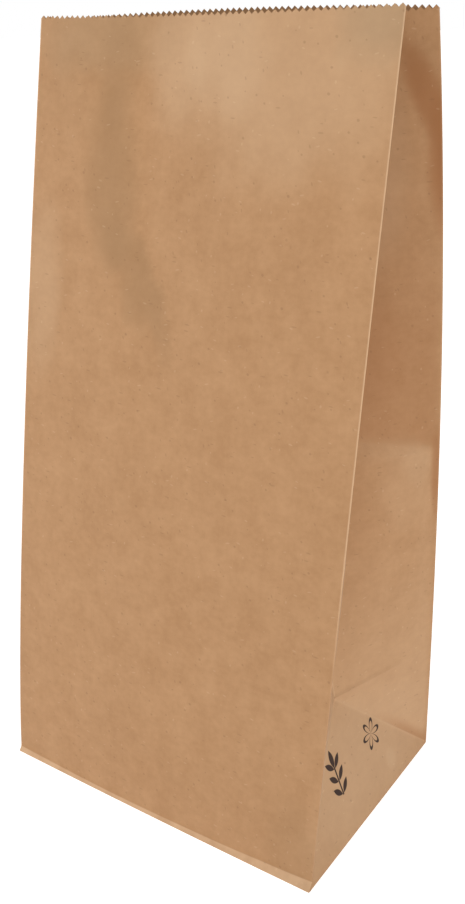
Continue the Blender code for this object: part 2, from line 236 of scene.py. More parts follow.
# The paper's finish
PAPER_ROUGHNESS = 0.70
PAPER_GLOSS = 0.30
RELIEF_DEPTH = 0.00010
RELIEF_STRENGTH = 0.5

# The two printed drawings, in millimetres: their places on the sheet and their own sizes
LEAF_SPRIG_PLACE = (194.5, 27.0)
SPRIG_FOOT = 10.0
SPRIG_BAND = (-10.2, -9.9, 6.6, 6.9)
STEM_LINE = (0.55, 0.3)
LEAF_PITCH = 5.6
LEAF_ASIDE = 0.72
LEAF_UPWARD = 0.69
LEAF_HALF_LENGTH = 3.4
LEAF_HALF_WIDTH = 1.35
TIP_HEIGHT = 6.0
TIP_HALF_LENGTH = 4.2
TIP_HALF_WIDTH = 1.5
ROSETTE_PLACE = (224.5, 26.5)
PETALS = 6
PETAL_LENGTH = 6.0
PETAL_LINE = (0.95, 0.55)

# Lamps: kind, place, strength, and width or a sun's angle; they point at the middle of the bag
SUN_SOFTNESS = math.radians(50)
LAMPS = {
    "front_left_box": ("AREA", (-0.80, -0.76, 0.58), 4.3, 0.5),
    "front_right_box": ("AREA", (0.42, -0.50, 0.50), 0.4, 0.4),
    "overhead_light": ("SUN", (0.2, -0.5, 1.9), 0.75, SUN_SOFTNESS),
    "right_light": ("SUN", (1.6, -0.6, 1.05), 1.16, SUN_SOFTNESS),
    "rear_light": ("SUN", (-0.7, 1.6, 0.9), 0.9, SUN_SOFTNESS),
}
LAMP_AIM = (0.0, 0.0, 0.15)

# The surround and the floor
WHITE = (1.0, 1.0, 1.0, 1.0)
AMBIENT = 0.17
BACKDROP = 1.0
FLOOR_COLOUR = (0.88, 0.88, 0.88, 1.0)
FLOOR_ROUGHNESS = 0.9
FLOOR_REACH = 30.0
FLOOR_GLOW = 0.56

# The camera, solved from the corners of the bag in the photograph
CAMERA_PLACE = (0.22990, -0.31584, 0.30916)
CAMERA_YAW = math.radians(34.73)
CAMERA_PITCH = math.radians(22.57)
CAMERA_ROLL = math.radians(1.51)
CAMERA_LENS = 41.10
CAMERA_SENSOR = 36.0
CAMERA_SHIFT = (-0.0028, 0.0011)
CAMERA_NEAREST = 0.01

# Worked out from the sizes above; the last ones are the flat sheet's, in millimetres
HALF_PANEL = PANEL_WIDTH / 2
HALF_GUSSET = GUSSET_WIDTH / 2
FRONT_LEAN = GUSSET_WIDTH - BACK_LEAN - MOUTH_GAP
FLAP_END = HALF_PANEL - HALF_GUSSET - FLAP_OVERLAP / 2
ROUND_THE_BAG = 2 * (PANEL_WIDTH + GUSSET_WIDTH)
INSIDE_SHIFT = 2 * ROUND_THE_BAG
PANELS = {
    "front": (0.0, PANEL_WIDTH),
    "right": (PANEL_WIDTH, GUSSET_WIDTH),
    "back": (PANEL_WIDTH + GUSSET_WIDTH, PANEL_WIDTH),
    "left": (2 * PANEL_WIDTH + GUSSET_WIDTH, GUSSET_WIDTH),
}
PANEL_MM = PANEL_WIDTH * 1000
GUSSET_MM = GUSSET_WIDTH * 1000
SIDE_MM = PANEL_MM + GUSSET_MM


class Wire:
    """An output of a node that Python's operators work on; each of them adds a Math node."""

    def __init__(self, tree, socket=None):
        self.tree = tree
        self.socket = socket

    def __getitem__(self, name):
        """Another output of the same node."""
        return Wire(self.tree, self.socket.node.outputs[name])

    def node(self, kind, settings=None, sockets=None):
        """Adds a node: its settings first, then the values or links of its sockets."""
        made = self.tree.nodes.new(kind)
        for name, value in (settings or {}).items():
            setattr(made, name, value)
        free = [socket for socket in made.inputs if not socket.is_unavailable]
        given = sockets or {}
        for name, value in given.items() if isinstance(given, dict) else enumerate(given):
            socket = free[name] if isinstance(name, int) else next(s for s in free if s.name == name)
            if isinstance(value, Wire):
                self.tree.links.new(value.socket, socket)
            else:
                socket.default_value = value
        outputs = [socket for socket in made.outputs if not socket.is_unavailable]
        return Wire(self.tree, outputs[0] if outputs else None)

    def math(self, operation, *values):
        """A Math node on these values."""
        return self.node("ShaderNodeMath", {"operation": operation}, values)

    def vector(self, operation, *values):
        """A Vector Math node on these values."""
        return self.node("ShaderNodeVectorMath", {"operation": operation}, values)

    def join(self, x, y, z):
        """A vector of these three parts."""
        return self.node("ShaderNodeCombineXYZ", {}, (x, y, z))

    def __add__(self, other):
        return self.math("ADD", self, other)

    def __sub__(self, other):
        return self.math("SUBTRACT", self, other)

    def __rsub__(self, other):
        return self.math("SUBTRACT", other, self)

    def __mul__(self, other):
        return self.math("MULTIPLY", self, other)

    def __truediv__(self, other):
        return self.math("DIVIDE", self, other)

    def __pow__(self, other):
        return self.math("POWER", self, other)

    def __abs__(self):
        return self.math("ABSOLUTE", self)

    def __mod__(self, other):
        return self.math("FLOORED_MODULO", self, other)

    __radd__ = __add__
    __rmul__ = __mul__

    def fade(self, low, high):
        """0 at low and 1 at high, with an even curve between; low may be the greater one."""
        return self.node("ShaderNodeMapRange", {"interpolation_type": "SMOOTHSTEP"},
                         {"Value": self, "From Min": low, "From Max": high})

    def band(self, start, full, ending, end):
        """1 between full and ending, and 0 outside start and end."""
        return self.fade(start, full) * self.fade(end, ending)

    def least(self, other):
        """The smaller of the two values."""
        return self.math("MINIMUM", self, other)

    def most(self, other):
        """The greater of the two values."""
        return self.math("MAXIMUM", self, other)

    def blend(self, first, second):
        """The colour that lies this wire's share of the way from the first to the second."""
        return self.node("ShaderNodeMix", {"data_type": "RGBA"},
                         {"Factor": self, "A": first, "B": second})


def smooth_step(value):
    """0 below 0, 1 above 1, and an even curve between."""
    value = min(1.0, max(0.0, value))
    return value * value * (3 - 2 * value)


def bump(share):
    """0 at both ends of a panel and 1 at its middle."""
    return 4 * share * (1 - share)


def mix(first, second, share):
    """The point that lies this share of the way from the first to the second."""
    return tuple(a + (b - a) * share for a, b in zip(first, second))


def waves(around, height, still):
    """How far the paper's soft waves lift it, less so where it is held still."""
    broad = noise.noise(Vector((around / WAVE_WIDE, height / WAVE_TALL, WAVE_SEED)))
    dimples = noise.noise(Vector((around / DIMPLE_SIZE, height / DIMPLE_SIZE, DIMPLE_SEED)))
    loose = math.sqrt(max(0.0, still)) * smooth_step(height / WAVES_START)
    return (WAVE_DEPTH * broad + DIMPLE_DEPTH * dimples) * loose


def leaning(height, length, lean, curve):
    """How far a panel has leaned at a sheet height, and how high that point then stands."""
    share = height / length
    drop = (lean * curve) ** 2 / (2 * length * (2 * curve - 1)) * share ** (2 * curve - 1)
    return lean * share ** curve, height - drop


def lip_share(share):
    """How strong the pinched base fold is, from the front panel's left to its right."""
    ends = LIP_LEFT_SHARE * (1 - share) * (1 - 2 * share) + share * (2 * share - 1)
    return ends + LIP_MIDDLE_SHARE * bump(share)


def soft_folds(share, up):
    """How far the front panel dips at its soft folds; up is the share of its height."""
    dip = 0.0
    for at_rim, drift, foot, depth, left_reach, right_reach, sharpness in FRONT_FOLDS:
        above_foot = max(0.0, (up - foot) / (1 - foot))
        offset = (share - at_rim - drift * (1 - up)) * PANEL_WIDTH
        rounding = FOLD_ROUNDING + FOLD_SOFTENING * (1 - up)
        reach = left_reach * (FOOT_REACH + (1 - FOOT_REACH) * above_foot) if offset < 0 else right_reach
        away = min(1.0, (math.hypot(offset, rounding) - rounding) / reach)
        profile = sharpness * (1 - away) ** 2 + (1 - sharpness) * (1 - smooth_step(away))
        dip += depth * profile * smooth_step(above_foot)
    return dip * bump(share)


def front_point(share, height):
    """A point of the front panel; share runs from its left fold to its right fold."""
    curve = FRONT_CURVE_LEFT + (FRONT_CURVE_RIGHT - FRONT_CURVE_LEFT) * share
    lean, rise = leaning(height, FRONT_HEIGHT, FRONT_LEAN, curve)
    up = height / FRONT_HEIGHT
    bow = FRONT_MOUTH_BOW * up ** 2 + FRONT_BASE_BOW * (1 - up) ** 3 + FRONT_MIDDLE_BOW * bump(up)
    bow *= bump(share)
    bow -= soft_folds(share, up)
    bow += waves(share * PANEL_WIDTH, height, bump(share))
    lip = max(0.0, 1 - height / (LIP_HEIGHT * lip_share(share))) * LIP_REACH * lip_share(share)
    return (PANEL_WIDTH * (share - 0.5), lean - bow - lip - HALF_GUSSET, rise)


def back_point(share, height):
    """A point of the back panel; share runs from its left fold to its right fold."""
    lean, rise = leaning(height, BACK_HEIGHT, BACK_LEAN, BACK_CURVE)
    bow = bump(share) * BACK_MOUTH_BOW * (height / BACK_HEIGHT) ** 2
    bow -= bump(share) * BACK_CREASE_DEPTH * max(0.0, 1 - abs(height / HALF_GUSSET - 1))
    bow += waves(PANELS["back"][0] + (1 - share) * PANEL_WIDTH, height, bump(share))
    return (PANEL_WIDTH * (share - 0.5), HALF_GUSSET - lean + bow, rise)


def apex_drop(side):
    """How much lower the tip of the tilted base triangle stands than the panels beside it."""
    end = (1 + side) / 2
    front = front_point(end, HALF_GUSSET)
    back = back_point(end, HALF_GUSSET)
    return (front[2] + back[2]) / 2 - (back[1] - front[1]) / 2


APEX_DROP = {side: apex_drop(side) for side in (-1, 1)}


def centre_crease(side, front, back, height):
    """The inward crease of a gusset above the base triangle; side is -1 at the left."""
    chord = back[1] - front[1]
    deepest = math.sqrt(max(0.0, HALF_GUSSET ** 2 - (chord / 2) ** 2))
    shift = APEX_SHIFT + (1 - APEX_SHIFT) * smooth_step(height / HALF_GUSSET - 1)
    middle = (front[1] + back[1]) / 2 * shift
    return (side * (HALF_PANEL - deepest), middle, (front[2] + back[2]) / 2 - APEX_DROP[side])


def swelling(away, height):
    """How far a gusset half swells outwards; away runs from its centre crease to its fold."""
    rise = smooth_step((height - HALF_GUSSET) / SWELL_RISE)
    fall = smooth_step((height - STEP_FROM - STEP_SLANT * (1 - away)) / STEP_HEIGHT)
    across = smooth_step(away / SWELL_START) * smooth_step((1 - away) / SWELL_END)
    return SWELL * across * rise * (1 - fall)


def gusset_point(side, share, height):
    """A point of a side gusset; share runs from its front fold to its back fold."""
    end = (1 + side) / 2
    front = front_point(end, height)
    back = back_point(end, height)
    if height >= HALF_GUSSET:
        away = abs(share - 0.5) / 0.5
        x, y, z = mix(centre_crease(side, front, back, height), front if share < 0.5 else back, away)
        around = PANELS["right" if side > 0 else "left"][0] + share * GUSSET_WIDTH
        lift = swelling(away, height) + waves(around, height - HALF_GUSSET, bump(away))
        return (x + side * lift, y, z)
    apex_front = front_point(end, HALF_GUSSET)
    apex = centre_crease(side, apex_front, back_point(end, HALF_GUSSET), HALF_GUSSET)
    up = height / HALF_GUSSET
    edge = height / GUSSET_WIDTH
    base = mix(front_point(end, 0.0), back_point(end, 0.0), min(1 - edge, max(edge, share)))
    middle = (side * HALF_PANEL, 0.0, 0.0)
    triangle = tuple(b + up * (a - m) for a, b, m in zip(apex, base, middle))
    if share < edge:
        return mix(front, triangle, share / edge)
    if share > 1 - edge:
        return mix(back, triangle, (1 - share) / edge)
    return triangle


def rim_height(panel, share):
    """The sheet height of the tooth tips at a place on the rim."""
    if panel == "front":
        return FRONT_HEIGHT - RIM_FRONT_DIP * bump(share)
    if panel == "back":
        return BACK_HEIGHT + RIM_BACK_CROWN * bump(share)
    return FRONT_HEIGHT + (BACK_HEIGHT - FRONT_HEIGHT) * share


def sheet_point(column, height):
    """The outside of the sheet at a column and a sheet height."""
    panel, share, lift = column
    if panel == "front":
        return front_point(share, height)
    if panel == "back":
        x, y, z = back_point(share, height)
        return (x, y + lift, z)
    return gusset_point(1 if panel == "right" else -1, share, height)


def around_the_bag(column):
    """The distance along the paper from the left front fold to a column."""
    panel, share, lift = column
    start, width = PANELS[panel]
    run = share if panel in ("front", "right") else 1 - share
    return start + run * width


def spread(breaks, longest=CELL):
    """Even cells between each pair of break points, none of them longer than this."""
    values = [breaks[0]]
    for low, high in zip(breaks, breaks[1:]):
        cells = max(1, math.ceil((high - low) / longest - 0.01))
        values += [low + (high - low) * step / cells for step in range(1, cells + 1)]
    return values


def from_fold():
    """Distances from a fold, close together beside it, up to half a gusset."""
    ends = [HALF_GUSSET - gap for gap in reversed(FOLD_ROWS)] + [HALF_GUSSET]
    return [0.0, *FOLD_ROWS] + spread([*LIP_ROWS, ends[0]]) + ends[1:]


def sheet_columns():
    """Columns round the bag, anticlockwise from above, starting at the left front fold."""
    flap_marks = [-FLAP_END, FLAP_END]
    folds = [-HALF_PANEL] + [-HALF_PANEL + gap for gap in FOLD_ROWS]
    folds += [HALF_PANEL - gap for gap in FOLD_ROWS] + [HALF_PANEL]
    seam_marks = [SEAM_FROM_MIDDLE, SEAM_FROM_MIDDLE + 2 * PAPER, SEAM_FROM_MIDDLE + SEAM_WIDTH]
    front_marks = spread(sorted(folds + flap_marks))
    back_marks = spread(sorted(folds + flap_marks + seam_marks))
    half = from_fold()
    gusset = [d / GUSSET_WIDTH for d in half] + [1 - d / GUSSET_WIDTH for d in reversed(half[1:-1])]
    columns = [("front", mark / PANEL_WIDTH + 0.5, 0.0) for mark in front_marks[:-1]]
    columns += [("right", share, 0.0) for share in gusset]
    for mark in reversed(back_marks[1:]):
        on_seam = seam_marks[0] + PAPER < mark < seam_marks[2] + PAPER
        columns.append(("back", mark / PANEL_WIDTH + 0.5, PAPER if on_seam else 0.0))
    columns += [("left", 1 - share, 0.0) for share in gusset]
    return columns


def row_heights(column):
    """Sheet heights of a column's rows, from the base fold to the valleys of the rim's teeth."""
    panel, share, lift = column
    top = rim_height(panel, share) - TOOTH_DEPTH
    cells = math.ceil((BACK_HEIGHT - HALF_GUSSET) / CELL)
    wall = [HALF_GUSSET + (top - HALF_GUSSET) * step / cells for step in range(1, cells + 1)]
    return from_fold() + wall


def softened(ring, columns):
    """The ring with its upright folds slightly rounded."""
    points = list(ring)
    for index, (panel, share, lift) in enumerate(columns):
        crease = share == 0.5 and panel in ("right", "left")
        if crease or panel != columns[index - 1][0]:
            before, after = ring[index - 1], ring[(index + 1) % len(ring)]
            points[index] = mix(ring[index], mix(before, after, 0.5), 0.5)
    return points


def inset_ring(ring, distance):
    """The ring moved inwards by a distance, with mitred corners; heights are kept."""
    inner = []
    for index, point in enumerate(ring):
        before = ring[index - 1]
        after = ring[(index + 1) % len(ring)]
        normals = []
        for start, end in ((before, point), (point, after)):
            along = (end[0] - start[0], end[1] - start[1])
            length = math.hypot(*along)
            normals.append((-along[1] / length, along[0] / length))
        (ax, ay), (bx, by) = normals
        reach = min(distance / max(1e-9, 1 + ax * bx + ay * by), distance * MITRE_LIMIT ** 2 / 2)
        inner.append((point[0] + reach * (ax + bx), point[1] + reach * (ay + by), point[2]))
    return inner


def flap_place(panel, x, y):
    """Where a point of the base lies on the flat sheet, on the flap that hangs from a panel."""
    start, width = PANELS[panel]
    if panel == "front":
        return (x + HALF_PANEL, -(y + HALF_GUSSET))
    if panel == "back":
        return (start + HALF_PANEL - x, y - HALF_GUSSET)
    if panel == "right":
        return (start + y + HALF_GUSSET, x - HALF_PANEL)
    return (start + HALF_GUSSET - y, -x - HALF_PANEL)


class Sheet:
    """The bag's mesh while it is made: faces, and for each corner its place on the flat sheet."""

    def __init__(self):
        self.mesh = bmesh.new()
        self.flat = self.mesh.loops.layers.uv.new("UVMap")

    def ring(self, points):
        """New vertices at these points."""
        return [self.mesh.verts.new(point) for point in points]

    def face(self, corners, places, outside=True):
        """A face seen from outside the sheet, or from inside the bag where outside is False."""
        pairs = list(zip(corners, places))
        if not outside:
            pairs.reverse()
        made = self.mesh.faces.new([corner for corner, place in pairs])
        for loop, (corner, place) in zip(made.loops, pairs):
            loop[self.flat].uv = place
        made.smooth = True

    def walls(self, columns, heights, rings, outside):
        """Two triangles for each cell, split along the direction that the base diagonals run."""
        count = len(columns)
        shift = 0.0 if outside else INSIDE_SHIFT
        for row in range(len(rings) - 1):
            low, high = rings[row], rings[row + 1]
            for index in range(count):
                after = (index + 1) % count
                panel, share, lift = columns[index]
                falling = (panel == "right" and share >= 0.5) or (panel == "left" and share <= 0.5)
                start = shift + around_the_bag(columns[index])
                end = shift + (around_the_bag(columns[after]) if after else ROUND_THE_BAG)
                corners = [low[index], low[after], high[after], high[index]]
                places = [(start, heights[index][row]), (end, heights[after][row]),
                          (end, heights[after][row + 1]), (start, heights[index][row + 1])]
                halves = ((0, 1, 3), (1, 2, 3)) if falling else ((0, 1, 2), (0, 2, 3))
                for half in halves:
                    self.face([corners[i] for i in half], [places[i] for i in half], outside)

    def strip(self, low, high, panel):
        """The cut edge between two plies: a strip from the lower line of vertices to the upper."""
        for index in range(len(low) - 1):
            corners = [low[index], low[index + 1], high[index + 1], high[index]]
            unique = [v for place, v in enumerate(corners) if v is not corners[place - 1]]
            if len(unique) > 2:
                self.face(unique, [flap_place(panel, v.co.x, v.co.y) for v in unique])

    def flap(self, corners, panel, outside):
        """One flat flap of the base."""
        self.face(corners, [flap_place(panel, v.co.x, v.co.y) for v in corners], outside)


def underside(sheet, columns, ring):
    """The base from below: front flap outermost, back flap under it, side flaps innermost."""
    sides = {"front": [], "right": [], "back": [], "left": []}
    for (panel, share, lift), vertex in zip(columns, ring):
        sides[panel].append(vertex)
    front, right, back, left = sides.values()
    meet = HALF_PANEL - HALF_GUSSET
    flap_tip = FLAP_OVERLAP / 2

    def stack(x, y, levels):
        return sheet.ring([(x, y, level * PAPER) for level in levels])

    right_meet = stack(meet, 0.0, (0, 1, 2))
    left_meet = stack(-meet, 0.0, (0, 1, 2))
    right_tip = stack(FLAP_END, flap_tip, (0, 1))
    left_tip = stack(-FLAP_END, flap_tip, (0, 1))
    front_flap = front + [right[0], right_meet[0], right_tip[0], left_tip[0], left_meet[0]]
    back_flap = back + [left[0], left_meet[1], left_tip[1], right_tip[1], right_meet[1]]
    sheet.flap(front_flap, "front", False)
    sheet.flap(back_flap, "back", False)
    sheet.flap(right + [back[0], right_meet[2]], "right", False)
    sheet.flap(left + [front[0], left_meet[2]], "left", False)
    sheet.strip([right_meet[0], right_tip[0], left_tip[0], left_meet[0]],
                [right_meet[1], right_tip[1], left_tip[1], left_meet[1]], "front")
    for corners in ([right[0], right_meet[0], right_meet[1], right_meet[2]],
                    [left_meet[0], front[0], left_meet[2], left_meet[1]],
                    [right_meet[1], back[0], right_meet[2]], [left[0], left_meet[1], left_meet[2]]):
        sheet.flap(corners, "front", True)


def inner_floor(sheet, columns, ring):
    """The base from inside: the side flaps lie on top, one ply above the middle."""
    count = len(columns)

    def on_line(panel, x):
        share = x / PANEL_WIDTH + 0.5
        return next(i for i, c in enumerate(columns) if c[0] == panel and abs(c[1] - share) < 1e-6)

    def arc(first, last):
        return [ring[(first + step) % count] for step in range((last - first) % count + 1)]

    def sunk(vertices):
        return sheet.ring([(v.co.x, v.co.y, v.co.z - PAPER) for v in vertices])

    front_line = arc(on_line("front", -FLAP_END), on_line("front", FLAP_END))
    back_line = arc(on_line("back", FLAP_END), on_line("back", -FLAP_END))
    right_arc = arc(on_line("front", FLAP_END), on_line("back", FLAP_END))
    left_arc = arc(on_line("back", -FLAP_END), on_line("front", -FLAP_END))
    front_low, back_low = sunk(front_line), sunk(back_line)
    sheet.flap(right_arc, "right", True)
    sheet.flap(left_arc, "left", True)
    sheet.flap(front_low + back_low, "front", True)
    for low, high in ((front_low, front_line), (back_low, back_line)):
        sheet.strip(low, high, "front")
    sheet.strip([front_low[-1], back_low[0]], [front_line[-1], back_line[0]], "right")
    sheet.strip([back_low[-1], front_low[0]], [back_line[-1], front_line[0]], "left")


def toothed_edge():
    """A Geometry Nodes tree that sets a row of cut teeth along each of its lines."""
    tree = bpy.data.node_groups.new("toothed_edge", "GeometryNodeTree")
    for name, kind in (("Lines", "Geometry"), ("Pitch", "Float"), ("Depth", "Float"),
                       ("Paper", "Float"), ("Material", "Material")):
        tree.interface.new_socket(name, in_out="INPUT", socket_type="NodeSocket" + kind)
    tree.interface.new_socket("Teeth", in_out="OUTPUT", socket_type="NodeSocketGeometry")
    graph = Wire(tree)
    given = graph.node("NodeGroupInput")
    pitch, depth, paper = given["Pitch"], given["Depth"], given["Paper"]

    def named(name, kind="FLOAT"):
        return graph.node("GeometryNodeInputNamedAttribute", {"data_type": kind}, {"Name": name})

    def store(geometry, name, kind, domain, value):
        return graph.node("GeometryNodeStoreNamedAttribute", {"data_type": kind, "domain": domain},
                          {"Geometry": geometry, "Name": name, "Value": value})

    # Each line becomes a whole number of even steps, and each step carries one tooth
    curves = graph.node("GeometryNodeMeshToCurve", {}, {"Mesh": given["Lines"]})
    steps = graph.math("ROUND", graph.node("GeometryNodeSplineLength") / pitch)
    even = graph.node("GeometryNodeResampleCurve", {}, {"Curve": curves, "Count": steps + 1})
    path = graph.node("GeometryNodeCurveToMesh", {}, {"Curve": even})
    ends = graph.node("GeometryNodeInputMeshEdgeVertices")
    run = graph.vector("SUBTRACT", ends["Position 2"], ends["Position 1"])
    path = store(path, "run", "FLOAT_VECTOR", "EDGE", run)
    places = graph.node("GeometryNodeMeshToPoints", {"mode": "EDGES"}, {"Mesh": path})

    # One tooth: a triangle one paper thick, that points up from the line
    index = graph.node("GeometryNodeInputIndex") - 1
    corner = graph.join(index * pitch / 2, 0.0, (1 - abs(index)) * depth)
    flat = graph.node("GeometryNodeMeshCircle", {"fill_type": "NGON"}, {"Vertices": 3})
    flat = graph.node("GeometryNodeSetPosition", {}, {"Geometry": flat, "Position": corner})
    other = graph.node("GeometryNodeFlipFaces", {}, {"Mesh": flat})
    thick = graph.node("GeometryNodeExtrudeMesh", {}, {
        "Mesh": flat, "Offset": (0.0, 1.0, 0.0), "Offset Scale": paper, "Individual": False})
    tooth = graph.node("GeometryNodeJoinGeometry", {}, [thick])
    tree.links.new(other.socket, tooth.socket.node.inputs[0])
    tooth = graph.node("GeometryNodeMergeByDistance", {}, {"Geometry": tooth, "Distance": 1e-6})
    tooth = store(tooth, "local", "FLOAT_VECTOR", "POINT", graph.node("GeometryNodeInputPosition"))

    run = named("run", "FLOAT_VECTOR")
    turn = graph.node("FunctionNodeAxesToRotation", {"primary_axis": "X", "secondary_axis": "Z"},
                      {"Primary Axis": run, "Secondary Axis": named("up", "FLOAT_VECTOR")})
    width = graph.vector("LENGTH", run)["Value"] / pitch
    teeth = graph.node("GeometryNodeInstanceOnPoints", {}, {
        "Points": places, "Instance": tooth, "Rotation": turn, "Scale": graph.join(width, 1.0, 1.0)})
    teeth = graph.node("GeometryNodeRealizeInstances", {}, {"Geometry": teeth})
    local = graph.node("ShaderNodeSeparateXYZ", {}, {"Vector": named("local", "FLOAT_VECTOR")})
    flat_place = graph.join(named("around") + local["X"], named("height") + local["Z"], 0.0)
    teeth = store(teeth, "UVMap", "FLOAT2", "CORNER", flat_place)
    teeth = graph.node("GeometryNodeSetMaterial", {}, {"Geometry": teeth, "Material": given["Material"]})
    graph.node("NodeGroupOutput", {}, {"Teeth": teeth})
    return tree


def tooth_lines(columns):
    """The lines that the teeth stand on: the rim from fold to fold, and the base flap's cut end."""
    mesh = bmesh.new()
    up_layer = mesh.verts.layers.float_vector.new("up")
    around_layer = mesh.verts.layers.float.new("around")
    height_layer = mesh.verts.layers.float.new("height")

    def line(points, ups, arounds, heights):
        before = None
        for point, up, around, height in zip(points, ups, arounds, heights):
            vertex = mesh.verts.new(point)
            vertex[up_layer] = up
            vertex[around_layer] = around
            vertex[height_layer] = height
            if before:
                mesh.edges.new((before, vertex))
            before = vertex

    plain = [(panel, share, 0.0) for panel, share, lift in columns]
    valleys = [rim_height(panel, share) - TOOTH_DEPTH for panel, share, lift in plain]
    low = [sheet_point(c, height) for c, height in zip(plain, valleys)]
    high = [sheet_point(c, height + TOOTH_DEPTH) for c, height in zip(plain, valleys)]
    ups = [tuple(b - a for a, b in zip(*pair)) for pair in zip(low, high)]
    arounds = [around_the_bag(c) for c in plain]
    folds = [i for i, (panel, share, lift) in enumerate(plain)
             if panel != plain[i - 1][0] or (share == 0.5 and panel in ("right", "left"))]
    for first, last in zip(folds, folds[1:] + [len(plain)]):
        span = [i % len(plain) for i in range(first, last + 1)]
        runs = [arounds[i] for i in span[:-1]] + [arounds[span[-1]] or ROUND_THE_BAG]
        line([low[i] for i in span], [ups[i] for i in span], runs, [valleys[i] for i in span])
    cut_end = FLAP_OVERLAP / 2
    ends = [(FLAP_END, cut_end, 0.0), (-FLAP_END, cut_end, 0.0)]
    places = [flap_place("front", x, y) for x, y, z in ends]
    line(ends, [(0, 1, 0)] * 2, [u for u, v in places], [v for u, v in places])
    data = bpy.data.meshes.new("tooth_lines")
    mesh.to_mesh(data)
    mesh.free()
    return bpy.data.objects.new("tooth_lines", data)


def cut_teeth(columns, material):
    """The plain mesh of every tooth of the rim and of the base flap's cut end."""
    lines = tooth_lines(columns)
    bpy.context.scene.collection.objects.link(lines)
    modifier = lines.modifiers.new("toothed_edge", "NODES")
    modifier.node_group = toothed_edge()
    values = {"Pitch": TOOTH_PITCH, "Depth": TOOTH_DEPTH, "Paper": PAPER, "Material": material}
    for item in modifier.node_group.interface.items_tree:
        if item.in_out == "INPUT" and item.name in values:
            modifier[item.identifier] = values[item.name]
    depsgraph = bpy.context.evaluated_depsgraph_get()
    teeth = bpy.data.meshes.new_from_object(lines.evaluated_get(depsgraph), depsgraph=depsgraph)
    bpy.data.objects.remove(lines, do_unlink=True)
    return teeth


def folded_sheet(material):
    """The whole bag as one mesh: both faces of its walls, its base and its cut teeth."""
    columns = sheet_columns()
    plain = [(panel, share, 0.0) for panel, share, lift in columns]
    heights = [row_heights(column) for column in columns]
    rows = len(heights[0])
    outer = [softened([sheet_point(c, h[row]) for c, h in zip(columns, heights)], columns)
             for row in range(rows)]
    one_ply = [softened([sheet_point(c, h[row]) for c, h in zip(plain, heights)], columns)
               for row in range(rows)]
    inner = [inset_ring(ring, PAPER) for ring in one_ply]
    floor_level = BASE_PLIES * PAPER
    foot = inset_ring([sheet_point(column, floor_level) for column in plain], 2 * PAPER)
    inner[0] = [(x, y, floor_level) for x, y, z in foot]
    inner[1] = inset_ring([sheet_point(c, floor_level * 1.5) for c in plain], PAPER)

    sheet = Sheet()
    outer_rings = [sheet.ring(ring) for ring in outer]
    inner_rings = [sheet.ring(ring) for ring in inner]
    sheet.walls(columns, heights, outer_rings, True)
    sheet.walls(columns, heights, inner_rings, False)
    outer_rim, inner_rim = outer_rings[-1], inner_rings[-1]
    for index in range(len(columns)):
        after = (index + 1) % len(columns)
        corners = [outer_rim[index], outer_rim[after], inner_rim[after], inner_rim[index]]
        start = around_the_bag(columns[index])
        end = around_the_bag(columns[after]) if after else ROUND_THE_BAG
        top, next_top = heights[index][-1], heights[after][-1]
        sheet.face(corners, [(start, top), (end, next_top), (end, next_top), (start, top)])
    underside(sheet, columns, outer_rings[0])
    inner_floor(sheet, columns, inner_rings[0])
    sheet.mesh.normal_update()
    for edge in sheet.mesh.edges:
        edge.smooth = edge.calc_face_angle(0.0) < SHARP_ANGLE

    sheet.mesh.from_mesh(cut_teeth(columns, material))
    data = bpy.data.meshes.new("folded_sheet")
    sheet.mesh.to_mesh(data)
    sheet.mesh.free()
    data.materials.append(material)
    piece = bpy.data.objects.new("folded_sheet", data)
    bpy.context.scene.collection.objects.link(piece)
    return piece


def stretched(paper, place, length, width, turn, seed):
    """Sheet places turned and scaled so that this length and width, in millimetres, become 1."""
    turned = paper.node("ShaderNodeVectorRotate", {"rotation_type": "Z_AXIS"},
                        {"Vector": place, "Angle": turn})
    scaled = paper.vector("MULTIPLY", turned, (1 / length, 1 / width, 1.0))
    return paper.vector("ADD", scaled, (seed, -seed, 0.0))


def grain(paper, place, width, length, turn, seed, detail):
    """Noise whose grains have this width and length in millimetres, turned by an angle."""
    return paper.node("ShaderNodeTexNoise", {"noise_dimensions": "2D"}, {
        "Vector": stretched(paper, place, length, width, turn, seed),
        "Scale": 1.0, "Detail": detail, "Roughness": GRAIN_ROUGHNESS})


def flecks_of_a_kind(paper, place, length, width, turn, seed, share):
    """Separate short flecks along one direction, in this share of cells this long and this wide."""
    cells = paper.node("ShaderNodeTexVoronoi", {"voronoi_dimensions": "2D"}, {
        "Vector": stretched(paper, place, length, width, turn, seed), "Scale": 1.0, "Randomness": 1.0})
    chance = paper.node("ShaderNodeSeparateColor", {}, {"Color": cells["Color"]})
    radius = chance["Green"] * FLECK_VARIATION + FLECK_RADIUS
    return (cells["Distance"] / radius).fade(1.0, 0.5) * chance["Red"].fade(1 - share, 1.02 - share)


def flecks(paper, place, kinds):
    """Where the flecks of all these kinds lie."""
    marks, *others = [flecks_of_a_kind(paper, place, *kind) for kind in kinds]
    for other in others:
        marks = marks.most(other)
    return marks


def soft_patch(across, up, middle, half_size, lean):
    """An oval with a soft edge, 1 at its middle; lean slides it sideways as it rises."""
    rise = up - middle[1]
    aside = (across - middle[0] - rise * lean) / half_size[0]
    return (aside ** 2 + (rise / half_size[1]) ** 2).fade(1.0, 0.0)


